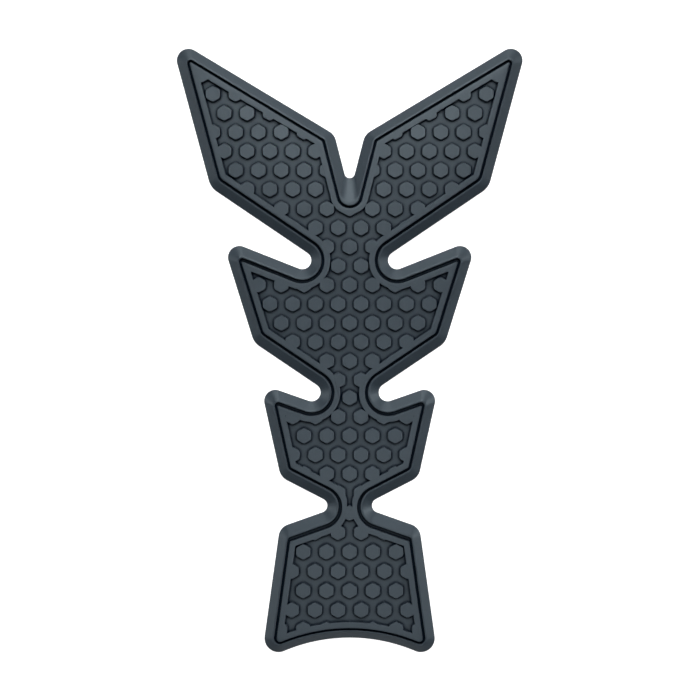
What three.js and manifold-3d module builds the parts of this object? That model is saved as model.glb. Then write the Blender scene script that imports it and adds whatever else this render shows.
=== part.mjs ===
// Motorcycle tank pad: one moulded rubber pad that lies flat on its bonding face.
// Millimetres, +Z up. +Y points to the front of the pad, where its two wings are, and the pad is
// the same on both sides of x = 0. The origin is the middle of the underside's bounding box.

import * as THREE from 'three';
import { mergeVertices } from 'three/addons/utils/BufferGeometryUtils.js';
import Module from 'manifold-3d';

// Corners of the right half of the outline, before rounding: x from the pad's axis, y along the
// pad, and the radius that rounds the corner. Notch corners may lie past the axis, because only
// their arcs are used.
const vBottom = { x: 0, y: 54.6, radius: 1.8 };
const wingRoot = { x: 5.31, y: 75.2, radius: 5.2 };
const wingTip = { x: 62.7, y: 109.7, radius: 4.1 };
const wingHeel = { x: 48.4, y: 56.7, radius: 7.2 };
const frontNotch = { x: -8.7, y: 18.1, radius: 3.1 };
const lobeTip = { x: 44.7, y: 39.2, radius: 4 };
const lobeHeel = { x: 33.3, y: 2.7, radius: 6.4 };
const rearNotch = { x: -8.3, y: -25.4, radius: 3.1 };
const rearLobeTip = { x: 31.2, y: -11.6, radius: 3.9 };
const rearLobeHeel = { x: 24, y: -44.1, radius: 5.4 };
const neckNotch = { x: 4, y: -54.4, radius: 2.5 };
const baseShoulder = { x: 24.35, y: -61.6, radius: 4.9 };
const baseFoot = { x: 30.9, radius: 4.9 };

// The concave foot of the base is an arc about a point on the axis
const footRadius = 58.4;
const footTop = -100;

// Heights above the underside
const rimHeight = 0.5;
const borderHeight = 2.7;
const padHeight = 3;
const grooveFloor = 0.9;
const fieldDepth = 1.3;

// The top is gently crowned: how far it falls towards the edge, and over what distance from it
const crownDrop = 0.5;
const crownReach = 14;

// Width of the sloped border along the outer edges, on the wings' front and rear edges, inside the
// notches, on the base's front edges and on the foot
const borderOuter = 3.35;
const borderWing = 3.55;
const borderNotch = 3.8;
const borderBase = 4.2;
const borderFoot = 2.9;

// Narrow level land along the border's crest
const crestLand = 0.5;

// Width of the groove on most edges, on the lobes' front edges, on the base's and on the foot
const grooveWidth = 0.95;
const grooveFrontWidth = 1.3;
const grooveBaseWidth = 1.45;
const grooveFootWidth = 0.8;

// Flat ring between the groove and the studded field
const ringWidth = 2.05;
const ringDraft = 0.2;

// Least radius of the groove's outer wall at the pad's points, and its radius at the bottom of
// the front V, where the border widens
const pointGrooveRadius = 1.3;
const vGrooveRadius = 3.6;

// Smallest corner radius of the ring
const smallRadius = 0.3;

// Hexagonal studs: width across flats, length over corners, and how far the foot stands out
const studAcross = 4.95;
const studLength = 5.5;
const studDraft = 0.25;

// The lattices of studs: distance between studs in a row, between rows, and the y of a row that
// has a stud on the axis. The wings, the front lobes and the rear ones have the same distances.
const studPitch = 7.9;
const rowPitch = 6.6;
const wingRowY = 62.5;
const frontRowY = 22.7;
const rearRowY = -29.6;
const baseStudPitch = 8.04;
const baseRowPitch = 6.73;
const baseRowY = -83.3;

// Where the wings' lattice ends and the front lobes' begins, and so on to the base's
const frontJoinY = 52;
const rearJoinY = -13.4;
const baseJoinY = -53;

// Half width that the field keeps where it passes through the neck, and the volume under which a
// pocket left between the ring and a stud is filled
const neckChannel = 0.9;
const smallestPocket = 1;

// Facets: largest angle on a rounded corner, and number on the foot's corner and on its half arc
const facetAngle = THREE.MathUtils.degToRad(15);
const footCornerSegments = 6;
const footSegments = 8;

// Overlap of joined solids and reach of cutters past the faces they cut
const overlap = 0.2;

const rubber = new THREE.MeshStandardMaterial({ color: 0x2b3136, roughness: 0.62, metalness: 0 });

const wasm = await Module();
wasm.setup();

// Right half of the outline from the V to the foot. Each corner has the kind of the edge that
// leaves it, which sets the widths of the border and the groove there.
const corners = [
  { ...vBottom, edge: 'notch' },
  { ...wingRoot, edge: 'wing' },
  { ...wingTip, edge: 'outer' },
  { ...wingHeel, edge: 'wing' },
  { ...frontNotch, edge: 'front' },
  { ...lobeTip, edge: 'outer' },
  { ...lobeHeel, edge: 'notch' },
  { ...rearNotch, edge: 'front' },
  { ...rearLobeTip, edge: 'outer' },
  { ...rearLobeHeel, edge: 'notch' },
  { ...neckNotch, edge: 'base' },
  { ...baseShoulder, edge: 'outer' },
];

const borderWidths = {
  outer: borderOuter,
  wing: borderWing,
  notch: borderNotch,
  front: borderNotch,
  base: borderBase,
  foot: borderFoot,
};
const grooveWidths = {
  outer: grooveWidth,
  wing: grooveWidth,
  notch: grooveWidth,
  front: grooveFrontWidth,
  base: grooveBaseWidth,
  foot: grooveFootWidth,
};

// Distances of a loop from the outline, by kind of edge: none for the outline itself, the border's
// width for its crest, and a given width inside the groove
const noInset = { outer: 0, wing: 0, notch: 0, front: 0, base: 0, foot: 0 };

function innerInset(width) {
  const inset = {};
  for (const [kind, border] of Object.entries(borderWidths)) {
    inset[kind] = border + grooveWidths[kind] + width;
  }
  return inset;
}

// Unit vector from one point to another
function direction(from, to) {
  return new THREE.Vector2().subVectors(to, from).normalize();
}

// The outline runs clockwise, so its inner side is on the right of each edge
function inwards(along) {
  return new THREE.Vector2(along.y, -along.x);
}

function cross(a, b) {
  return a.x * b.y - a.y * b.x;
}

// Where two lines meet, each given by a point and a direction
function meet(pointA, alongA, pointB, alongB) {
  const between = new THREE.Vector2().subVectors(pointB, pointA);
  const distance = cross(between, alongB) / cross(alongA, alongB);
  return pointA.clone().addScaledVector(alongA, distance);
}

// Points of an arc from one point to another the short way round, both included
function arcPoints(centre, start, end, segments) {
  const from = new THREE.Vector2().subVectors(start, centre);
  const to = new THREE.Vector2().subVectors(end, centre);
  const radius = from.length();
  const clockwise = cross(from, to) < 0;
  const curve = new THREE.EllipseCurve(
    centre.x, centre.y, radius, radius, from.angle(), to.angle(), clockwise,
  );
  return curve.getPoints(segments);
}

// Straight edges of the right half, each moved inwards by its kind's inset
function straightEdges(inset) {
  const footCentreY = footTop - footRadius;
  const footY = footCentreY + Math.sqrt(footRadius ** 2 - baseFoot.x ** 2);
  const sharp = corners.map((corner) => new THREE.Vector2(corner.x, corner.y));
  sharp.push(new THREE.Vector2(baseFoot.x, footY));
  return corners.map((corner, i) => {
    const along = direction(sharp[i], sharp[i + 1]);
    const point = sharp[i].clone().addScaledVector(inwards(along), inset[corner.edge]);
    return { along, point, inset: inset[corner.edge], border: borderWidths[corner.edge] };
  });
}

// Radius of a corner after its edges have moved in: a notch's grows and a point's shrinks, but the
// groove keeps its least radius at the points
function insetRadius(radius, before, after) {
  const moved = (before.inset + after.inset) / 2;
  if (moved === 0) return radius;
  if (cross(before.along, after.along) > 0) return radius + moved;
  return pointRadius(radius, (before.border + after.border) / 2, moved);
}

function pointRadius(radius, border, moved) {
  const grooveRadius = Math.max(radius - border, pointGrooveRadius);
  return Math.max(grooveRadius - (moved - border), smallRadius);
}

// Arc that rounds the corner between two straight edges
function roundedCorner(before, after, radius) {
  const sharp = meet(before.point, before.along, after.point, after.along);
  const turn = Math.acos(before.along.dot(after.along));
  const tangent = radius * Math.tan(turn / 2);
  const start = sharp.clone().addScaledVector(before.along, -tangent);
  const end = sharp.clone().addScaledVector(after.along, tangent);
  const side = cross(before.along, after.along) > 0 ? -radius : radius;
  const centre = start.clone().addScaledVector(inwards(before.along), side);
  return arcPoints(centre, start, end, Math.ceil(turn / facetAngle));
}

// Right half of the V's rounded bottom, from the axis to the first edge
function vArc(edge) {
  const radius = edge.inset === 0 ? vBottom.radius : vGrooveRadius + edge.inset - edge.border;
  const axis = new THREE.Vector2(0, 1);
  const sharp = meet(edge.point, edge.along, new THREE.Vector2(), axis);
  const halfAngle = Math.acos(edge.along.dot(axis));
  const centre = new THREE.Vector2(0, sharp.y + radius / Math.sin(halfAngle));
  const start = new THREE.Vector2(0, centre.y - radius);
  const end = sharp.clone().addScaledVector(edge.along, radius / Math.tan(halfAngle));
  return arcPoints(centre, start, end, Math.ceil((Math.PI / 2 - halfAngle) / facetAngle));
}

// Rounded corner of the base between its side and the foot's arc, and then the right half of
// that arc up to the axis
function footArc(edge, inset) {
  const centre = new THREE.Vector2(0, footTop - footRadius);
  const radius = footRadius + inset;
  const corner = inset === 0 ? baseFoot.radius : pointRadius(baseFoot.radius, borderFoot, inset);
  const inner = edge.point.clone().addScaledVector(inwards(edge.along), corner);
  const toCentre = new THREE.Vector2().subVectors(centre, inner);
  const reach = toCentre.dot(edge.along);
  const miss = cross(edge.along, toCentre);
  const back = Math.sqrt((radius + corner) ** 2 - miss ** 2);
  const cornerCentre = inner.addScaledVector(edge.along, reach - back);
  const start = cornerCentre.clone().addScaledVector(inwards(edge.along), -corner);
  const end = cornerCentre.clone().addScaledVector(direction(cornerCentre, centre), corner);
  const top = new THREE.Vector2(0, centre.y + radius);
  const rounded = arcPoints(cornerCentre, start, end, footCornerSegments);
  return rounded.concat(arcPoints(centre, end, top, footSegments).slice(1));
}

// Closed loop of points at an inset from the outline, counter-clockwise. In the neck it keeps a
// given distance from the axis.
function padLoop(inset, channel = 0) {
  const edges = straightEdges(inset);
  const half = vArc(edges[0]);
  for (let i = 1; i < edges.length; i += 1) {
    const radius = insetRadius(corners[i].radius, edges[i - 1], edges[i]);
    const arc = roundedCorner(edges[i - 1], edges[i], radius);
    const least = corners[i].edge === 'base' ? channel : 0;
    half.push(...arc.map(({ x, y }) => new THREE.Vector2(Math.max(x, least), y)));
  }
  half.push(...footArc(edges[edges.length - 1], inset.foot));
  const mirrored = half.slice(1, -1).map((point) => new THREE.Vector2(-point.x, point.y));
  return half.reverse().concat(mirrored);
}

// Solid of a closed mesh
function toSolid(geometry) {
  const bare = geometry.clone();
  bare.deleteAttribute('normal');
  bare.deleteAttribute('uv');
  const merged = mergeVertices(bare, 1e-5);
  return new wasm.Manifold(new wasm.Mesh({
    numProp: 3,
    vertProperties: merged.attributes.position.array,
    triVerts: new Uint32Array(merged.index.array),
  }));
}

// Upright prism on a loop
function prism(loop, bottom, top) {
  const geometry = new THREE.ExtrudeGeometry(new THREE.Shape(loop), {
    depth: top - bottom,
    bevelEnabled: false,
  });
  return toSolid(geometry.translate(0, 0, bottom));
}

// Solid through a stack of loops with the same number of points, each at its own height
function loft(levels) {
  const count = levels[0].loop.length;
  const positions = levels.flatMap(({ loop, z }) => loop.flatMap(({ x, y }) => [x, y, z]));
  const triangles = [];
  for (let level = 0; level + 1 < levels.length; level += 1) {
    for (let i = 0; i < count; i += 1) {
      const next = (i + 1) % count;
      const a = level * count + i;
      const b = level * count + next;
      triangles.push(a, b, b + count, a, b + count, a + count);
    }
  }
  const last = (levels.length - 1) * count;
  for (const [a, b, c] of THREE.ShapeUtils.triangulateShape(levels[0].loop, [])) {
    triangles.push(a, c, b);
  }
  for (const [a, b, c] of THREE.ShapeUtils.triangulateShape(levels[levels.length - 1].loop, [])) {
    triangles.push(last + a, last + b, last + c);
  }
  const geometry = new THREE.BufferGeometry();
  geometry.setAttribute('position', new THREE.Float32BufferAttribute(positions, 3));
  geometry.setIndex(triangles);
  return toSolid(geometry);
}

// Inset of the line where the border's slope ends in its crest's land
function landInset() {
  const inset = {};
  for (const [kind, border] of Object.entries(borderWidths)) inset[kind] = border - crestLand;
  return inset;
}

// Thin rim, and the border that slopes up from it to the land beside the groove
function borderSolid(outline, crest) {
  return loft([
    { loop: outline, z: 0 },
    { loop: outline, z: rimHeight },
    { loop: padLoop(landInset()), z: borderHeight },
    { loop: crest, z: borderHeight },
  ]);
}

// Hexagon with corners to the front and back, grown by a given distance on every side
function hexagon(x, y, grown) {
  const acrossRadius = (studAcross / 2 + grown) / Math.cos(Math.PI / 6);
  const lengthRadius = studLength / 2 + grown / Math.cos(Math.PI / 6);
  const points = [];
  for (let i = 0; i < 6; i += 1) {
    const angle = Math.PI / 2 + i * Math.PI / 3;
    points.push(new THREE.Vector2(
      x + acrossRadius * Math.cos(angle),
      y + lengthRadius * Math.sin(angle),
    ));
  }
  return points;
}

// One drafted stud, running past the field's floor and the pad's top
function stud(x, y) {
  const slope = studDraft / fieldDepth;
  return loft([
    { loop: hexagon(x, y, studDraft + overlap * slope), z: padHeight - fieldDepth - overlap },
    { loop: hexagon(x, y, -overlap * slope), z: padHeight + overlap },
  ]);
}

// Centres of a lattice's studs between two heights on the pad: rows by turns have a stud on the
// axis and a gap there
function lattice(pitch, rowPitch, axisRowY, from, to, reach) {
  const centres = [];
  const first = Math.ceil((from - axisRowY) / rowPitch);
  const last = Math.floor((to - axisRowY) / rowPitch);
  for (let row = first; row <= last; row += 1) {
    const shift = Math.abs(row % 2) * pitch / 2;
    for (let x = shift; x <= reach; x += pitch) {
      centres.push({ x, y: axisRowY + row * rowPitch });
      if (x > 0) centres.push({ x: -x, y: axisRowY + row * rowPitch });
    }
  }
  return centres;
}

// Studs that reach into the field
function studs(field, halfWidth) {
  const centres = [
    ...lattice(studPitch, rowPitch, wingRowY, frontJoinY, wingTip.y, halfWidth),
    ...lattice(studPitch, rowPitch, frontRowY, rearJoinY, frontJoinY, halfWidth),
    ...lattice(studPitch, rowPitch, rearRowY, baseJoinY, rearJoinY, halfWidth),
    ...lattice(baseStudPitch, baseRowPitch, baseRowY, footTop - baseRowPitch, baseJoinY, halfWidth),
  ];
  const solids = centres.map(({ x, y }) => stud(x, y));
  return wasm.Manifold.union(solids.filter((solid) => !solid.intersect(field).isEmpty()));
}

// Space above the field's floor, inside the ring's drafted inner wall
function fieldSpace() {
  const floor = padHeight - fieldDepth;
  const rise = ringDraft * overlap / fieldDepth;
  return loft([
    { loop: padLoop(innerInset(ringWidth + ringDraft), neckChannel - ringDraft), z: floor },
    { loop: padLoop(innerInset(ringWidth - rise), neckChannel + rise), z: padHeight + overlap },
  ]);
}

// Space between the studs, without the slivers that a stud and the ring nearly close
function fieldAroundStuds(halfWidth) {
  const field = fieldSpace();
  const pockets = field.subtract(studs(field, halfWidth)).decompose();
  return wasm.Manifold.union(pockets.filter((pocket) => pocket.volume() > smallestPocket));
}

// The whole pad: border with the groove cut down into it, the core inside the groove, and the
// field cut into the core around its studs
function padSolid(outline) {
  const crest = padLoop(borderWidths);
  const border = borderSolid(outline, crest);
  const frame = border.subtract(prism(crest, grooveFloor, borderHeight + overlap));
  const core = prism(padLoop(innerInset(0)), grooveFloor - overlap, padHeight);
  const halfWidth = Math.max(...outline.map((point) => point.x));
  return frame.add(core).subtract(fieldAroundStuds(halfWidth));
}

// Distance of a flat point from the outline
function distanceToOutline(point, outline) {
  const edge = new THREE.Line3();
  const nearest = new THREE.Vector3();
  let least = Infinity;
  outline.forEach(({ x, y }, i) => {
    const next = outline[(i + 1) % outline.length];
    edge.start.set(x, y, 0);
    edge.end.set(next.x, next.y, 0);
    edge.closestPointToPoint(point, true, nearest);
    least = Math.min(least, nearest.distanceTo(point));
  });
  return least;
}

// Lowers the top towards the edge, all heights by the same share at a place
function crown(positions, outline) {
  const point = new THREE.Vector3();
  for (let i = 0; i < positions.length; i += 3) {
    point.set(positions[i], positions[i + 1], 0);
    const inside = Math.min(distanceToOutline(point, outline) / crownReach, 1);
    positions[i + 2] *= 1 - (crownDrop / padHeight) * (1 - inside) ** 2;
  }
}

function toGeometry(solid, outline) {
  const { vertProperties, triVerts } = solid.getMesh();
  crown(vertProperties, outline);
  const geometry = new THREE.BufferGeometry();
  geometry.setAttribute('position', new THREE.BufferAttribute(vertProperties, 3));
  geometry.setIndex(new THREE.BufferAttribute(triVerts, 1));
  geometry.computeVertexNormals();
  return geometry;
}

// The pad's mesh, moved so that the origin is in the middle of its length
function padMesh() {
  const outline = padLoop(noInset);
  const middle = new THREE.Box2().setFromPoints(outline).getCenter(new THREE.Vector2());
  const mesh = new THREE.Mesh(toGeometry(padSolid(outline), outline), rubber);
  mesh.name = 'pad';
  mesh.position.y = -middle.y;
  return mesh;
}

const tankPad = new THREE.Group();
tankPad.add(padMesh());

export default tankPad;
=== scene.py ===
import math

import bmesh
import bpy
import numpy as np
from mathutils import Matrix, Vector


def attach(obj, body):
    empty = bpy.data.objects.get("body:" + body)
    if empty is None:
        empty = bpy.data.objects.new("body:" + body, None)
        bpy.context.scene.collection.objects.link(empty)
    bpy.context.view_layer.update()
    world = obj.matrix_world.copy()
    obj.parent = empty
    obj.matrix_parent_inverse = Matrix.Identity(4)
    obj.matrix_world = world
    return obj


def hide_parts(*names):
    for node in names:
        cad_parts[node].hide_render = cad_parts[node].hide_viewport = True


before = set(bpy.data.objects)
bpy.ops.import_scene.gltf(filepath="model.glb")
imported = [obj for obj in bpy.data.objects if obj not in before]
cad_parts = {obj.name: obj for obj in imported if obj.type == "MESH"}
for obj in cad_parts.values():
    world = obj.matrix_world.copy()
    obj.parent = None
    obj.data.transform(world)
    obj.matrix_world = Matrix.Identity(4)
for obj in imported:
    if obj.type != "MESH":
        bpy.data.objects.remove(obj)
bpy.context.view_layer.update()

# The pad is drawn in millimetres, in the frame's axes, and its mesh is scaled to metres at the end.
MM = 0.001

# Corners of the right half of the outline before rounding: x, y, radius, and the kind of the edge
# that leaves the corner. They run from the front V down to the foot.
CORNERS = (
    (0, 54.6, 1.8, "notch"),
    (5.31, 75.2, 5.2, "wing"),
    (62.7, 109.7, 4.1, "outer"),
    (48.4, 56.7, 7.2, "wing"),
    (-8.7, 18.1, 3.1, "front"),
    (44.7, 39.2, 4, "outer"),
    (33.3, 2.7, 6.4, "notch"),
    (-8.3, -25.4, 3.1, "front"),
    (31.2, -11.6, 3.9, "outer"),
    (24, -44.1, 5.4, "notch"),
    (4, -54.4, 2.5, "base"),
    (24.35, -61.6, 4.9, "outer"),
)

# The base's corners at the foot, and the foot's hollow arc
FOOT_X = 30.9
FOOT_CORNER_RADIUS = 4.9
FOOT_RADIUS = 58.4
FOOT_TOP = -100

# Heights above the underside
RIM_HEIGHT = 0.5
BORDER_HEIGHT = 2.7
PAD_HEIGHT = 3
GROOVE_FLOOR = 0.9
FIELD_FLOOR = 1.7

# Widths of the sloped border and of the groove by the kind of edge
BORDER = {"outer": 3.35, "wing": 3.55, "notch": 3.8, "front": 3.8, "base": 4.2, "foot": 2.9}
GROOVE = {"outer": 0.95, "wing": 0.95, "notch": 0.95, "front": 1.3, "base": 1.45, "foot": 0.8}
RING_WIDTH = 2.05

# Radii of the groove round the pad's points and in the front V, and the least radius of a loop
POINT_GROOVE_RADIUS = 1.3
V_GROOVE_RADIUS = 3.6
SMALL_RADIUS = 0.3

# Flat land along the border's crest, and the draft of the moulded walls
CREST_LAND = 0.5
GROOVE_DRAFT = 0.06
RING_DRAFT = 0.2

# Radii that round the moulding's edges
RIM_FILLET = 0.5
CREST_FILLET = 0.12
RING_FILLET = 0.15
FLOOR_FILLET = 0.2
STUD_FILLET = 0.12

# Hexagonal studs: their sides, width across flats, length over the corners before rounding, the
# corners' radius, and how far the wall leans out from top to foot
STUD_SIDES = 6
STUD_ACROSS = 4.95
STUD_LENGTH = 5.5
STUD_CORNER_RADIUS = 1.0
STUD_DRAFT = 0.25

# Lattices of studs: pitch in a row, between rows, and the y of a row with a stud on the axis
WING_LATTICE = (7.9, 6.6, 62.5)
FRONT_LATTICE = (7.9, 6.6, 22.7)
REAR_LATTICE = (7.9, 6.6, -29.6)
BASE_LATTICE = (8.04, 6.73, -83.3)

# Where along the pad one lattice gives way to the next
FRONT_JOIN_Y = 52
REAR_JOIN_Y = -13.4
BASE_JOIN_Y = -53

# Half the width of the field's channel through the neck, and the least volume of a pocket that is
# moulded between a stud and the ring, in cubic millimetres
NECK_CHANNEL = 0.9
SMALLEST_POCKET = 1

# Crown of the moulding: how far its top falls towards the edge, and over what distance from it
CROWN = 0.5
CROWN_REACH = 14

# Finest turn of an arc in the outline, and segments of the small roundings
ARC_STEP = math.radians(4)
FILLET_SEGMENTS = 4
STUD_CORNER_SEGMENTS = 5
FOOT_SEGMENTS = 30

# How far a cutting solid passes the faces that it cuts, and how far a stud's section runs on level
OVERLAP = 0.05
RUN_OUT = 1

# Edges that turn by more than this are shaded sharp, and the others take the larger faces' slope
SHARP_ANGLE = math.radians(40)
FLAT_WEIGHT = 100

# The camera looks straight down on the middle of the photo's frame
CAMERA_PLACE = (0.00012, 0.00014, 0.6)
FRAME_WIDTH = 0.24377
SENSOR_WIDTH = 36

# Rubber: its two tints and where the mottle reaches them, the tint of its painted shade in deep
# corners, and its sheen
TINTS = ((0.031, 0.0425, 0.055, 1), (0.036, 0.0492, 0.064, 1))
MOTTLE_RANGE = (0.3, 0.7)
PAINTED_SHADE_TINT = (0, 0.0035, 0.01, 1)
SHEEN = 0.5
SHEEN_TINT = (0.79, 0.93, 1, 1)
SMOOTHEST = 0.38
ROUGHEST = 0.46

# How far, in metres, and how strongly painted shade darkens the recesses and the tight corners
RECESS_REACH = 0.003
RECESS_POWER = 1.2
CORNER_REACH = 0.0008
CORNER_POWER = 3.6
OPENNESS_SAMPLES = 8

# The mottle's and the grain's noise, and the grain's height in metres
MOTTLE_SCALE = 90
MOTTLE_DETAIL = 6
MOTTLE_ROUGHNESS = 0.65
GRAIN_SCALE = 3500
GRAIN_DETAIL = 3
GRAIN_ROUGHNESS = 0.5
GRAIN_STRENGTH = 0.35
GRAIN_HEIGHT = 0.00004

# The floor lies just under the pad. Its glow, which only the camera and reflections see, makes it
# white where no shadow falls.
FLOOR_RADIUS = 6
FLOOR_SEGMENTS = 64
FLOOR_DROP = 0.00002
FLOOR_TONE = 0.8
FLOOR_ROUGHNESS = 0.9
FLOOR_GLOW = 0.75

# Distances from the pad, in metres, between which the floor's glow rises to the world's white, so
# that no horizon shows in a low view
FLOOR_FADE = (0.3, 1.5)
WHITE = (1, 1, 1, 1)

# Angle, in degrees, over which a soft box shines when nothing narrows its beam
OPEN_SPREAD = 180

# Soft boxes: azimuth and elevation in degrees, distance and size in metres, and power in watts.
# Some face another point of the axis than its middle, in metres, with a narrow beam, in degrees.
SOFT_BOXES = (
    ("top_box", 0, 90, 1.2, 0.6, 0.48),
    ("high_front_box", 0, 65, 0.65, 0.12, 0.62),
    ("front_box", 0, 58, 0.9, 0.3, 0.98),
    ("lower_front_box", 0, 40, 0.9, 0.3, 1.45),
    ("low_front_box", 0, 20, 0.9, 0.8, 2.4),
    ("front_right_box", 60, 20, 0.9, 0.5, 1.02),
    ("right_box", 80, 20, 0.9, 0.5, 0.56),
    ("left_box", 280, 20, 0.9, 0.5, 1.1),
    ("high_rear_box", 180, 76, 0.28, 0.12, 0.04),
    ("low_rear_box", 180, 27, 0.34, 0.12, 0.05),
    ("wing_beam", 0, 70, 0.5, 0.15, 0.017, 0.09, 25),
    ("base_beam", 180, 80, 0.4, 0.15, 0.009, -0.075, 35),
    ("base_right_beam", 76, 30, 0.4, 0.2, 0.026, -0.085, 24),
    ("base_left_beam", 276, 30, 0.4, 0.2, 0.013, -0.085, 24),
)


def corner_arc(previous, corner, following, radius, segments):
    """Points of the arc that rounds the corner between two straight lines."""
    arriving = (corner - previous).normalized()
    leaving = (following - corner).normalized()
    turn = math.atan2(arriving.cross(leaving), arriving.dot(leaving))
    start = corner - arriving * radius * math.tan(abs(turn) / 2)
    to_centre = Vector((-arriving.y, arriving.x)) * math.copysign(radius, turn)
    centre = start + to_centre
    return [
        centre + turned(-to_centre, turn * step / segments) for step in range(segments + 1)
    ]


def turned(vector, angle):
    """A flat vector turned anticlockwise."""
    cos, sin = math.cos(angle), math.sin(angle)
    return Vector((vector.x * cos - vector.y * sin, vector.x * sin + vector.y * cos))


def arc(centre, radius, start_angle, end_angle, segments):
    """Points of an arc about a centre."""
    angles = np.linspace(start_angle, end_angle, segments + 1)
    return [centre + Vector((math.cos(a), math.sin(a))) * radius for a in angles]


def meet(point_a, along_a, point_b, along_b):
    """Where two flat lines meet."""
    return point_a + along_a * ((point_b - point_a).cross(along_b) / along_a.cross(along_b))


def share_of_border(distance):
    """How much of the border a loop has crossed, from 0 at the outline to 1 at the crest."""
    return min(distance / BORDER["outer"], 1)


def inset(distance, kind):
    """A loop's distance from an edge of some kind, where on an outer edge it is the given one.
    The border and the groove are stretched to that kind's own widths."""
    standard = (0, BORDER["outer"], BORDER["outer"] + GROOVE["outer"])
    own = (0, BORDER[kind], BORDER[kind] + GROOVE[kind])
    past = max(distance - standard[2], 0)
    return float(np.interp(distance, standard, own)) + past


def point_radius(radius, border, moved):
    """Radius of a loop round one of the pad's points, at a distance from the outline."""
    crest_radius = max(radius - border, POINT_GROOVE_RADIUS)
    if moved < border:
        return radius + (crest_radius - radius) * moved / border
    return max(crest_radius - (moved - border), SMALL_RADIUS)


def inner_side(along):
    """Unit vector towards the pad from an edge of the outline, which runs clockwise."""
    return Vector((along.y, -along.x))


def moved_edges(distance):
    """The right half's straight edges, each moved inwards: a point on it and its direction."""
    foot_y = FOOT_TOP - FOOT_RADIUS + math.sqrt(FOOT_RADIUS**2 - FOOT_X**2)
    sharp = [Vector((x, y)) for x, y, _, _ in CORNERS] + [Vector((FOOT_X, foot_y))]
    edges = []
    for corner, following, (_, _, _, kind) in zip(sharp, sharp[1:], CORNERS):
        along = (following - corner).normalized()
        edges.append((corner + inner_side(along) * inset(distance, kind), along))
    return edges


def corner_radius(index, distance, turn):
    """Radius of a corner of the moved outline: a notch's grows and a point's shrinks."""
    _, _, radius, kind = CORNERS[index]
    kind_before = CORNERS[index - 1][3]
    moved = (inset(distance, kind_before) + inset(distance, kind)) / 2
    if turn > 0:
        return radius + moved
    return point_radius(radius, (BORDER[kind_before] + BORDER[kind]) / 2, moved)


def v_arc(edge, distance):
    """Right half of the front V's rounded bottom."""
    point, along = edge
    notch = inset(distance, "notch")
    radius = V_GROOVE_RADIUS + notch - BORDER["notch"]
    if notch < BORDER["notch"]:
        radius = CORNERS[0][2] + (V_GROOVE_RADIUS - CORNERS[0][2]) * share_of_border(distance)
    corner = meet(point, along, Vector((0, 0)), Vector((0, 1)))
    mirrored = Vector((-along.x, along.y))
    segments = 2 * math.ceil(math.atan2(along.y, along.x) / ARC_STEP)
    points = corner_arc(corner + mirrored, corner, corner + along, radius, segments)
    return points[segments // 2 :]


def foot_arcs(edge, distance):
    """The base's corner at the foot, and then the right half of the foot's hollow arc."""
    point, along = edge
    moved = inset(distance, "foot")
    centre = Vector((0, FOOT_TOP - FOOT_RADIUS))
    radius = FOOT_RADIUS + moved
    corner = point_radius(FOOT_CORNER_RADIUS, BORDER["foot"], moved)
    inner = point + inner_side(along) * corner
    to_centre = centre - inner
    back = math.sqrt((radius + corner) ** 2 - along.cross(to_centre) ** 2)
    corner_centre = inner + along * (to_centre.dot(along) - back)
    side = -inner_side(along)
    down = centre - corner_centre
    start = math.atan2(side.y, side.x)
    end = math.atan2(down.y, down.x)
    segments = math.ceil(math.pi / 2 / ARC_STEP)
    rounded = arc(corner_centre, corner, start, end, segments)
    landing = math.atan2(-down.y, -down.x)
    return rounded + arc(centre, radius, landing, math.pi / 2, FOOT_SEGMENTS)[1:]


def pad_loop(distance, channel=0):
    """Closed anticlockwise loop at a distance from the outline. In the neck it keeps a given
    distance from the axis."""
    edges = moved_edges(distance)
    half = v_arc(edges[0], distance)
    for index in range(1, len(edges)):
        (before, arriving), (after, leaving) = edges[index - 1], edges[index]
        turn = arriving.cross(leaving)
        segments = math.ceil(abs(arriving.angle(leaving)) / ARC_STEP)
        corner = meet(before, arriving, after, leaving)
        radius = corner_radius(index, distance, turn)
        points = corner_arc(corner - arriving, corner, corner + leaving, radius, segments)
        least = channel if CORNERS[index][3] == "base" else 0
        half += [Vector((max(p.x, least), p.y)) for p in points]
    half += foot_arcs(edges[-1], distance)
    mirrored = [Vector((-p.x, p.y)) for p in half[1:-1]]
    return half[::-1] + mirrored


def rounded_section(points):
    """Line of a section through (distance, height, radius) points, each rounded."""
    flat = [Vector(p[:2]) for p in points]
    line = [flat[0]]
    for index in range(1, len(points) - 1):
        line += corner_arc(
            flat[index - 1], flat[index], flat[index + 1], points[index][2], FILLET_SEGMENTS
        )
    return line + [flat[-1]]


def pad_section():
    """Section from the outline's foot over the rim, border, land and groove onto the ring."""
    crest = BORDER["outer"]
    ring = crest + GROOVE["outer"]
    return rounded_section([
        (0, 0, 0),
        (0, RIM_HEIGHT, RIM_FILLET),
        (crest - CREST_LAND, BORDER_HEIGHT, RIM_FILLET),
        (crest, BORDER_HEIGHT, CREST_FILLET),
        (crest + GROOVE_DRAFT, GROOVE_FLOOR, FLOOR_FILLET),
        (ring - GROOVE_DRAFT, GROOVE_FLOOR, FLOOR_FILLET),
        (ring, PAD_HEIGHT, RING_FILLET),
        (ring + RING_WIDTH / 2, PAD_HEIGHT, 0),
    ])


def field_section():
    """Section of the ring's inner wall from the field's floor to just over the pad's top. The
    rounding of its edge runs on upwards, so that it cuts cleanly through the top."""
    ring = BORDER["outer"] + GROOVE["outer"] + RING_WIDTH
    line = rounded_section([
        (ring + RING_DRAFT + RING_WIDTH, FIELD_FLOOR, 0),
        (ring + RING_DRAFT, FIELD_FLOOR, FLOOR_FILLET),
        (ring, PAD_HEIGHT, RING_FILLET),
        (ring - RING_WIDTH, PAD_HEIGHT, 0),
    ])
    return cutting_edge(line[1:-1])


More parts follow.
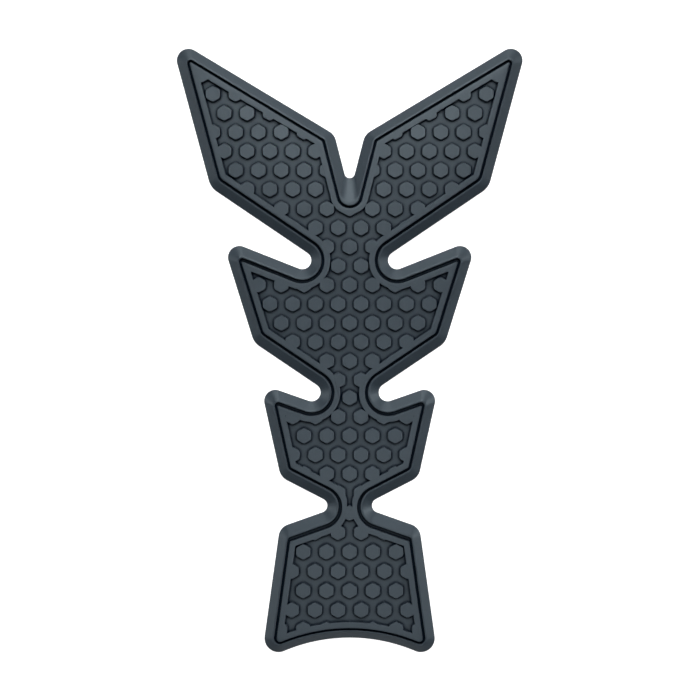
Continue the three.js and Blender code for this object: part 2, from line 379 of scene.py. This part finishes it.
def cutting_edge(line):
    """A section's line without its last, level point, run on past the pad's top instead."""
    last, before = line[-2], line[-3]
    rise = (PAD_HEIGHT + OVERLAP - last.y) / (last.y - before.y)
    return line[:-1] + [last + (last - before) * rise]


def stud_section():
    """Section of a stud's wall, as distances out from the edge of its top."""
    line = rounded_section([
        (STUD_DRAFT + RUN_OUT, FIELD_FLOOR, 0),
        (STUD_DRAFT, FIELD_FLOOR, FLOOR_FILLET),
        (0, PAD_HEIGHT, STUD_FILLET),
        (-RUN_OUT, PAD_HEIGHT, 0),
    ])
    return cutting_edge(line[1:-1])


def hexagon_loop(x, y, grown):
    """Rounded hexagon with corners to the front and back, grown on every side."""
    flat_to_corner = math.cos(math.pi / STUD_SIDES)
    across = (STUD_ACROSS / 2 + grown) / flat_to_corner
    length = STUD_LENGTH / 2 + grown / flat_to_corner
    angles = [math.pi / 2 + step * 2 * math.pi / STUD_SIDES for step in range(STUD_SIDES)]
    sharp = [Vector((x + across * math.cos(a), y + length * math.sin(a))) for a in angles]
    points = []
    for index, corner in enumerate(sharp):
        points += corner_arc(
            sharp[index - 1],
            corner,
            sharp[(index + 1) % STUD_SIDES],
            STUD_CORNER_RADIUS + grown,
            STUD_CORNER_SEGMENTS,
        )
    return points


def stud_levels(x, y):
    """Loops of one stud, from under the field's floor to over the pad's top."""
    line = stud_section()
    foot = Vector((line[0].x, FIELD_FLOOR - OVERLAP))
    return [(hexagon_loop(x, y, p.x), p.y) for p in [foot] + line]


def lattice(pitch, row_pitch, axis_row_y, low, high):
    """Centres of a lattice's studs between two heights on the pad."""
    reach = max(x for x, _, _, _ in CORNERS)
    first = math.ceil((low - axis_row_y) / row_pitch)
    last = math.floor((high - axis_row_y) / row_pitch)
    centres = []
    for row in range(first, last + 1):
        y = axis_row_y + row * row_pitch
        x = row % 2 * pitch / 2
        while x <= reach:
            sides = (1, -1) if x else (1,)
            centres += [(side * x, y) for side in sides]
            x += pitch
    return centres


def stud_centres():
    """Centres of all the studs that could touch the field."""
    wings = lattice(*WING_LATTICE, FRONT_JOIN_Y, max(y for _, y, _, _ in CORNERS))
    front = lattice(*FRONT_LATTICE, REAR_JOIN_Y, FRONT_JOIN_Y)
    rear = lattice(*REAR_LATTICE, BASE_JOIN_Y, REAR_JOIN_Y)
    base = lattice(*BASE_LATTICE, FOOT_TOP - BASE_LATTICE[1], BASE_JOIN_Y)
    return wings + front + rear + base


def lofted(name, solids):
    """Object with a closed mesh for each stack of (loop, height) levels."""
    vertices, faces = [], []
    for levels in solids:
        first, count = len(vertices), len(levels[0][0])
        vertices += [(x, y, z) for loop, z in levels for x, y in loop]
        for level in range(len(levels) - 1):
            low = first + level * count
            for i in range(count):
                j = (i + 1) % count
                faces.append((low + i, low + j, low + count + j, low + count + i))
        faces.append(tuple(range(first + count - 1, first - 1, -1)))
        last = first + (len(levels) - 1) * count
        faces.append(tuple(range(last, last + count)))
    mesh = bpy.data.meshes.new(name)
    mesh.from_pydata(vertices, [], faces)
    made = bpy.data.objects.new(name, mesh)
    bpy.context.scene.collection.objects.link(made)
    return made


def cut_away(body, cutter):
    """Cuts one object out of another and deletes the cutter."""
    modifier = body.modifiers.new("cut", "BOOLEAN")
    modifier.operation = "DIFFERENCE"
    modifier.solver = "MANIFOLD"
    modifier.object = cutter
    evaluated = body.evaluated_get(bpy.context.evaluated_depsgraph_get())
    cut = bpy.data.meshes.new_from_object(evaluated)
    body.modifiers.clear()
    body.data = cut
    bpy.data.objects.remove(cutter)


def islands(mesh):
    """Lists of faces that hang together."""
    left = set(mesh.faces)
    while left:
        island, edge = [], [left.pop()]
        while edge:
            face = edge.pop()
            island.append(face)
            for side in face.edges:
                for other in side.link_faces:
                    if other in left:
                        left.remove(other)
                        edge.append(other)
        yield island


def volume(faces):
    """Volume inside a closed island of faces."""
    total = 0
    for face in faces:
        first = face.verts[0].co
        for a, b in zip(face.verts[1:-1], face.verts[2:]):
            total += first.dot(a.co.cross(b.co)) / 6
    return total


def drop_small_pockets(cutter):
    """Deletes the slivers of the field that a stud and the ring nearly close."""
    mesh = bmesh.new()
    mesh.from_mesh(cutter.data)
    small = [island for island in islands(mesh) if volume(island) < SMALLEST_POCKET]
    bmesh.ops.delete(mesh, geom=[face for island in small for face in island], context="FACES")
    mesh.to_mesh(cutter.data)
    mesh.free()


def field_cutter():
    """The space between the studs, inside the ring. It stays open through the neck as a channel,
    which narrows downwards as the ring's wall does."""
    edge = BORDER["outer"] + GROOVE["outer"] + RING_WIDTH
    levels = [(pad_loop(p.x, NECK_CHANNEL - (p.x - edge)), p.y) for p in field_section()]
    space = lofted("field", [levels])
    cut_away(space, lofted("studs", [stud_levels(x, y) for x, y in stud_centres()]))
    drop_small_pockets(space)
    return space


def distance_to_outline(points):
    """Distance of each flat point from the outline."""
    loop = np.array([tuple(p) for p in pad_loop(0)])
    nearest = np.full(len(points), np.inf)
    for a, b in zip(loop, np.roll(loop, -1, axis=0)):
        along = b - a
        share = np.clip((points - a) @ along / (along @ along), 0, 1)
        away = points - a - share[:, None] * along
        nearest = np.minimum(nearest, np.hypot(away[:, 0], away[:, 1]))
    return nearest


def crown(mesh):
    """Lets the moulding's top fall gently towards its edge."""
    points = np.empty(len(mesh.vertices) * 3)
    mesh.vertices.foreach_get("co", points)
    points = points.reshape(-1, 3)
    inside = np.clip(distance_to_outline(points[:, :2]) / CROWN_REACH, 0, 1)
    points[:, 2] *= 1 - CROWN / PAD_HEIGHT * (1 - inside) ** 2
    mesh.vertices.foreach_set("co", points.ravel())


def place(mesh):
    """Scales the mesh to metres and sets it in the frame, whose origin is in the middle."""
    loop = pad_loop(0)
    middle = (min(p.y for p in loop) + max(p.y for p in loop)) / 2
    for vertex in mesh.vertices:
        vertex.co = Vector((vertex.co.x, vertex.co.y - middle, vertex.co.z)) * MM


def smooth(piece):
    """Smooth shading that keeps flat faces flat and walls crisp."""
    piece.data.shade_smooth()
    piece.data.set_sharp_from_angle(angle=SHARP_ANGLE)
    weighted = piece.modifiers.new("flat faces", "WEIGHTED_NORMAL")
    weighted.keep_sharp = True
    weighted.weight = FLAT_WEIGHT


def pad():
    """The whole moulding."""
    levels = [(pad_loop(p.x), p.y) for p in pad_section()]
    piece = lofted("tank_pad", [levels])
    cut_away(piece, field_cutter())
    crown(piece.data)
    place(piece.data)
    smooth(piece)
    piece.data.materials.clear()
    piece.data.materials.append(rubber())
    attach(piece, "root")
    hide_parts("pad")


def new_material(name):
    """A material with nodes, and its Principled shader."""
    material = bpy.data.materials.new(name)
    material.use_nodes = True
    return material, material.node_tree.nodes["Principled BSDF"]


def add_node(material, kind, values):
    """Adds a shader node and gives its inputs values or links them to other nodes' outputs."""
    made = material.node_tree.nodes.new(kind)
    for name, value in values.items():
        if isinstance(value, bpy.types.NodeSocket):
            material.node_tree.links.new(value, made.inputs[name])
        else:
            made.inputs[name].default_value = value
    return made


def calculated(material, operation, first, second):
    """Output of a calculation with one output and a number or another output."""
    made = add_node(material, "ShaderNodeMath", {0: first, 1: second})
    made.operation = operation
    return made.outputs[0]


def noise(material, scale, detail, roughness):
    """Output of a noise that stays in place on the piece."""
    place = add_node(material, "ShaderNodeTexCoord", {}).outputs["Object"]
    values = {"Vector": place, "Scale": scale, "Detail": detail, "Roughness": roughness}
    return add_node(material, "ShaderNodeTexNoise", values).outputs["Fac"]


def openness(material, reach, power):
    """How open to its own surroundings each point of the piece is, within a reach. The rubber's
    painted shade follows it.
    """
    made = add_node(material, "ShaderNodeAmbientOcclusion", {"Distance": reach})
    made.only_local = True
    made.samples = OPENNESS_SAMPLES
    return calculated(material, "POWER", made.outputs["AO"], power)


def rubber_colour(material, mottle, unshaded):
    """Slate tint that varies a little, with painted shade that deepens it in the recesses and
    corners.
    """
    ramp = add_node(material, "ShaderNodeValToRGB", {"Fac": mottle})
    for element, position, tint in zip(ramp.color_ramp.elements, MOTTLE_RANGE, TINTS):
        element.position = position
        element.color = tint
    shade = material.node_tree.nodes.new("ShaderNodeMix")
    shade.data_type = "RGBA"
    # Painted shade: the less open a place is, the more its tint runs to the dark shade tint
    shade.inputs["A"].default_value = PAINTED_SHADE_TINT
    material.node_tree.links.new(unshaded, shade.inputs["Factor"])
    material.node_tree.links.new(ramp.outputs["Color"], shade.inputs["B"])
    return shade.outputs["Result"]


def moulded_grain(material):
    """Normal of the surface with its fine grain."""
    grain = noise(material, GRAIN_SCALE, GRAIN_DETAIL, GRAIN_ROUGHNESS)
    values = {"Height": grain, "Strength": GRAIN_STRENGTH, "Distance": GRAIN_HEIGHT}
    return add_node(material, "ShaderNodeBump", values).outputs["Normal"]


def rubber():
    """Half-matt slate-coloured rubber with a fine moulded grain, with painted shade in its recesses
    and corners and its sheen dimmed there too.
    """
    material, shader = new_material("rubber")
    mottle = noise(material, MOTTLE_SCALE, MOTTLE_DETAIL, MOTTLE_ROUGHNESS)
    recess = openness(material, RECESS_REACH, RECESS_POWER)
    corner = openness(material, CORNER_REACH, CORNER_POWER)
    # Painted shade: the recesses and tight corners darken, and their sheen dims, by how open they
    # are
    unshaded = calculated(material, "MULTIPLY", recess, corner)
    values = {"Value": mottle, "To Min": SMOOTHEST, "To Max": ROUGHEST}
    gloss = add_node(material, "ShaderNodeMapRange", values).outputs["Result"]
    for name, output in (
        ("Base Color", rubber_colour(material, mottle, unshaded)),
        ("Specular IOR Level", calculated(material, "MULTIPLY", unshaded, SHEEN)),
        ("Normal", moulded_grain(material)),
        ("Roughness", gloss),
    ):
        material.node_tree.links.new(output, shader.inputs[name])
    shader.inputs["Specular Tint"].default_value = SHEEN_TINT
    return material


def floor_glow(material):
    """Glow that rises from its strength at the pad to the world's far from it."""
    place = add_node(material, "ShaderNodeNewGeometry", {}).outputs["Position"]
    length = add_node(material, "ShaderNodeVectorMath", {0: place})
    length.operation = "LENGTH"
    near, far = FLOOR_FADE
    values = {
        "Value": length.outputs["Value"],
        "From Min": near,
        "From Max": far,
        "To Min": FLOOR_GLOW,
        "To Max": 1,
    }
    return add_node(material, "ShaderNodeMapRange", values).outputs["Result"]


def floor_material():
    """Pale floor that reads as white where no shadow falls."""
    material, shader = new_material("floor")
    shader.inputs["Base Color"].default_value = (FLOOR_TONE, FLOOR_TONE, FLOOR_TONE, 1)
    shader.inputs["Roughness"].default_value = FLOOR_ROUGHNESS
    shader.inputs["Emission Color"].default_value = WHITE
    ray = add_node(material, "ShaderNodeLightPath", {}).outputs
    seen = calculated(material, "ADD", ray["Is Camera Ray"], ray["Is Glossy Ray"])
    through = calculated(material, "ADD", seen, ray["Is Transmission Ray"])
    glow = calculated(material, "MULTIPLY", through, floor_glow(material))
    material.node_tree.links.new(glow, shader.inputs["Emission Strength"])
    return material


def floor():
    """Wide round floor under the pad."""
    mesh = bpy.data.meshes.new("floor")
    build = bmesh.new()
    bmesh.ops.create_circle(build, cap_ends=True, segments=FLOOR_SEGMENTS, radius=FLOOR_RADIUS)
    build.to_mesh(mesh)
    build.free()
    ground = bpy.data.objects.new("floor", mesh)
    ground.location.z = -FLOOR_DROP
    mesh.materials.append(floor_material())
    bpy.context.scene.collection.objects.link(ground)


def lamp(name, azimuth, elevation, distance, size, power, aim_y=0, spread=OPEN_SPREAD):
    """Square soft box that faces a point on the pad's axis. Azimuth 0 is towards the pad's front,
    90 to its right, and the spread is the angle of its beam."""
    turn, rise = math.radians(azimuth), math.radians(elevation)
    away = Vector((
        math.sin(turn) * math.cos(rise), math.cos(turn) * math.cos(rise), math.sin(rise)
    ))
    data = bpy.data.lights.new(name, "AREA")
    data.size = size
    data.energy = power
    data.spread = math.radians(spread)
    box = bpy.data.objects.new(name, data)
    box.location = Vector((0, aim_y, 0)) + away * distance
    box.rotation_euler = away.to_track_quat("Z", "Y").to_euler()
    box.visible_camera = False
    bpy.context.scene.collection.objects.link(box)


def white_world():
    """World that is white behind the pad and gives it no light."""
    world = bpy.data.worlds.new("studio")
    world.use_nodes = True
    background = world.node_tree.nodes["Background"]
    background.inputs["Color"].default_value = WHITE
    ray = add_node(world, "ShaderNodeLightPath", {}).outputs
    seen = calculated(world, "ADD", ray["Is Camera Ray"], ray["Is Transmission Ray"])
    world.node_tree.links.new(seen, background.inputs["Strength"])
    return world


def studio():
    """Soft boxes round the pad, most of their light from over it and over its front."""
    for name, *values in SOFT_BOXES:
        lamp(name, *values)
    bpy.context.scene.world = white_world()


def camera():
    """Camera straight above the pad, with the photo's frame."""
    data = bpy.data.cameras.new("camera")
    data.sensor_width = SENSOR_WIDTH
    data.lens = SENSOR_WIDTH * CAMERA_PLACE[2] / FRAME_WIDTH
    eye = bpy.data.objects.new("camera", data)
    eye.location = CAMERA_PLACE
    bpy.context.scene.collection.objects.link(eye)
    bpy.context.scene.camera = eye


pad()
floor()
studio()
camera()
bpy.context.scene.view_settings.view_transform = "Standard"
